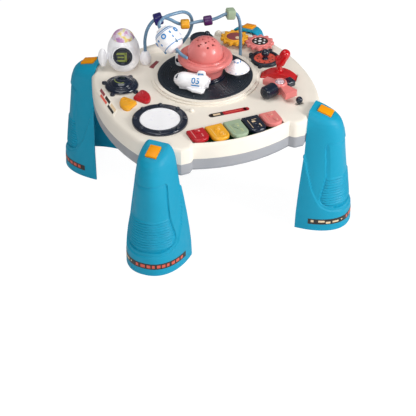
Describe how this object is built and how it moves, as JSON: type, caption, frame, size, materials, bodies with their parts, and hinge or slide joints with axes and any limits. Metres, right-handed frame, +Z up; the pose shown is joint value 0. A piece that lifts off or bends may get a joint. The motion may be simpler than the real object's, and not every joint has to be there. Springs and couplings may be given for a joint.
{
  "type": "baby_activity_table",
  "caption": "Standing musical activity table for a small child, with legs, a spinning disc, keys, drum, gears, dial, joystick, spinner and bead wires",
  "frame": {"origin": "centre of the table on the floor it stands on", "axes": "+Z up, -Y toward the child at the keys, +X to the right of someone who faces the keys"},
  "size_m": [0.4288, 0.4288, 0.33],
  "materials": {
    "cream_plastic": "fine satin",
    "grey_plastic": "fine matt grain",
    "turquoise_plastic": "semi gloss",
    "orange_plastic": "semi gloss",
    "navy_plastic": "gloss",
    "slate_plastic": "satin",
    "pink_plastic": "semi gloss",
    "red_plastic": "gloss",
    "yellow_plastic": "semi gloss",
    "sage_plastic": "semi gloss",
    "purple_plastic": "semi gloss",
    "white_plastic": "semi gloss",
    "blue_coated_wire": "smooth plastic coating on steel",
    "circuit_laminate": "solder mask",
    "bright_metal": "bright",
    "clear_plastic": "clear"
  },
  "bodies": {
    "table": {"deck_top_shell": "cream_plastic", "deck_bottom_tray": "grey_plastic", "battery_door": "grey_plastic", "leg_front_left": "turquoise_plastic", "leg_front_right": "turquoise_plastic", "leg_back_left": "turquoise_plastic", "leg_back_right": "turquoise_plastic", "drum_ring": "navy_plastic", "robot_porthole": "navy_plastic", "dial_ring": "slate_plastic", "battery_box": "slate_plastic", "speaker": "slate_plastic", "planet_base": "pink_plastic", "planet_dome": "pink_plastic", "planet_post": "white_plastic", "projector_lamp": "white_plastic", "wire_foot_left": "white_plastic", "robot_body": "white_plastic", "robot_booster": "white_plastic", "wire_rear": "blue_coated_wire", "wire_loop": "blue_coated_wire", "circuit_board": "circuit_laminate", "joystick_axle": "bright_metal", "robot_cap": "bright_metal"},
    "turntable": {"turntable_disc": "slate_plastic", "hub_collar": "navy_plastic", "rider_shuttle": "white_plastic", "rider_saucer": "white_plastic", "rider_capsule": "white_plastic"},
    "key_red": {"key_1": "red_plastic"},
    "key_yellow": {"key_2": "yellow_plastic"},
    "key_sage": {"key_3": "sage_plastic"},
    "key_navy": {"key_4": "navy_plastic"},
    "key_pink": {"key_5": "pink_plastic"},
    "yellow_pick": {"pick_yellow": "yellow_plastic"},
    "red_pick": {"pick_red": "red_plastic"},
    "drum": {"drum_pad": "white_plastic"},
    "cymbal": {"cymbal_pad": "navy_plastic"},
    "orange_gear": {"gear_orange": "orange_plastic"},
    "pink_gear": {"gear_pink": "pink_plastic"},
    "dial": {"dial_face": "orange_plastic", "dial_ball": "navy_plastic"},
    "back_dial": {"rear_dial": "slate_plastic"},
    "joystick": {"joystick_cover": "red_plastic", "joystick_handle": "red_plastic"},
    "spinner": {"spinner_cross": "pink_plastic", "spinner_drum": "navy_plastic", "spinner_slab": "navy_plastic", "spinner_lens": "clear_plastic"},
    "ball_knob": {"slide_knob": "navy_plastic"},
    "navy_bead": {"bead_navy": "navy_plastic"},
    "orange_bead": {"bead_orange": "orange_plastic"},
    "purple_bead": {"bead_purple": "purple_plastic"},
    "sage_bead": {"bead_sage": "sage_plastic"},
    "loop_rocket": {"rocket": "white_plastic"},
    "latch_front_left": {"latch_button_front_left": "orange_plastic"},
    "latch_front_right": {"latch_button_front_right": "orange_plastic"},
    "latch_back_left": {"latch_button_back_left": "orange_plastic"},
    "latch_back_right": {"latch_button_back_right": "orange_plastic"}
  },
  "joints": [
    {"name": "turntable_spin", "type": "hinge", "parent": "table", "child": "turntable", "pos_m": [0.013, 0.027, 0.2253], "axis": [0, 0, 1], "continuous": true},
    {"name": "latch_press_front_left", "type": "slide", "parent": "table", "child": "latch_front_left", "axis": [-0.1861, -0.1861, 0.9648], "range_m": [-0.002, 0], "stiffness_N_per_m": 600, "springref_m": 0.002},
    {"name": "latch_press_front_right", "type": "slide", "parent": "table", "child": "latch_front_right", "axis": [0.1861, -0.1861, 0.9648], "range_m": [-0.002, 0], "stiffness_N_per_m": 600, "springref_m": 0.002},
    {"name": "latch_press_back_left", "type": "slide", "parent": "table", "child": "latch_back_left", "axis": [-0.1861, 0.1861, 0.9648], "range_m": [-0.002, 0], "stiffness_N_per_m": 600, "springref_m": 0.002},
    {"name": "latch_press_back_right", "type": "slide", "parent": "table", "child": "latch_back_right", "axis": [0.1861, 0.1861, 0.9648], "range_m": [-0.002, 0], "stiffness_N_per_m": 600, "springref_m": 0.002},
    {"name": "key_press_red", "type": "hinge", "parent": "table", "child": "key_red", "pos_m": [-0.072, -0.118, 0.2125], "axis": [1, 0, 0], "range_deg": [0, 3.5], "stiffness_Nm_per_rad": 1, "springref_deg": -1.72},
    {"name": "key_press_yellow", "type": "hinge", "parent": "table", "child": "key_yellow", "pos_m": [-0.038, -0.118, 0.2125], "axis": [1, 0, 0], "range_deg": [0, 3.5], "stiffness_Nm_per_rad": 1, "springref_deg": -1.72},
    {"name": "key_press_sage", "type": "hinge", "parent": "table", "child": "key_sage", "pos_m": [-0.004, -0.118, 0.2125], "axis": [1, 0, 0], "range_deg": [0, 3.5], "stiffness_Nm_per_rad": 1, "springref_deg": -1.72},
    {"name": "key_press_navy", "type": "hinge", "parent": "table", "child": "key_navy", "pos_m": [0.03, -0.118, 0.2125], "axis": [1, 0, 0], "range_deg": [0, 3.5], "stiffness_Nm_per_rad": 1, "springref_deg": -1.72},
    {"name": "key_press_pink", "type": "hinge", "parent": "table", "child": "key_pink", "pos_m": [0.064, -0.118, 0.2125], "axis": [1, 0, 0], "range_deg": [0, 3.5], "stiffness_Nm_per_rad": 1, "springref_deg": -1.72},
    {"name": "pick_press_yellow", "type": "slide", "parent": "table", "child": "yellow_pick", "axis": [0, 0, 1], "range_m": [-0.003, 0], "stiffness_N_per_m": 300, "springref_m": 0.003},
    {"name": "pick_press_red", "type": "slide", "parent": "table", "child": "red_pick", "axis": [0, 0, 1], "range_m": [-0.003, 0], "stiffness_N_per_m": 300, "springref_m": 0.003},
    {"name": "drum_press", "type": "slide", "parent": "table", "child": "drum", "axis": [0, 0, 1], "range_m": [-0.0015, 0], "stiffness_N_per_m": 600, "springref_m": 0.002},
    {"name": "cymbal_press", "type": "slide", "parent": "table", "child": "cymbal", "axis": [0, 0, 1], "range_m": [-0.0015, 0], "stiffness_N_per_m": 600, "springref_m": 0.002},
    {"name": "gear_orange_spin", "type": "hinge", "parent": "table", "child": "orange_gear", "pos_m": [0.111, 0.118, 0.232], "axis": [0, 0, 1], "continuous": true},
    {"name": "gear_pink_spin", "type": "hinge", "parent": "table", "child": "pink_gear", "pos_m": [0.14697, 0.08327, 0.232], "axis": [0, 0, 1], "continuous": true},
    {"name": "dial_spin", "type": "hinge", "parent": "table", "child": "dial", "pos_m": [0.1375, 0.039, 0.2225], "axis": [0, 0, 1], "continuous": true},
    {"name": "rear_dial_spin", "type": "hinge", "parent": "table", "child": "back_dial", "pos_m": [0.057, 0.147, 0.2222], "axis": [0, 0, 1], "continuous": true},
    {"name": "joystick_tilt", "type": "hinge", "parent": "table", "child": "joystick", "pos_m": [0.137, -0.021, 0.1885], "axis": [0.5736, 0.8192, 0], "range_deg": [-12, 12], "stiffness_Nm_per_rad": 0.6},
    {"name": "spinner_spin", "type": "hinge", "parent": "table", "child": "spinner", "pos_m": [0.115, -0.07, 0.2325], "axis": [0, 0, 1], "continuous": true},
    {"name": "knob_slide", "type": "slide", "parent": "table", "child": "ball_knob", "axis": [1, 0, 0], "range_m": [-0.005, 0.005]},
    {"name": "bead_spin_navy", "type": "hinge", "parent": "table", "child": "navy_bead", "pos_m": [-0.04471, 0.10678, 0.31127], "axis": [0.9478, -0.2133, 0.237], "continuous": true},
    {"name": "bead_spin_orange", "type": "hinge", "parent": "table", "child": "orange_bead", "pos_m": [0.00118, 0.09189, 0.29856], "axis": [0.9518, -0.3067, 0], "continuous": true},
    {"name": "bead_spin_purple", "type": "hinge", "parent": "table", "child": "purple_bead", "pos_m": [0.04054, 0.07918, 0.30375], "axis": [0.9441, -0.3021, 0.1322], "continuous": true},
    {"name": "bead_spin_sage", "type": "hinge", "parent": "table", "child": "sage_bead", "pos_m": [0.08, 0.06778, 0.315], "axis": [0.9856, -0.1408, -0.0939], "continuous": true},
    {"name": "rocket_spin", "type": "hinge", "parent": "table", "child": "loop_rocket", "pos_m": [-0.0455, 0.055, 0.2981], "axis": [-0.3248, 0.7652, 0.5558], "continuous": true}
  ],
  "couplings": [
    {"joint": "gear_pink_spin", "follows": "gear_orange_spin", "ratio": -1}
  ]
}
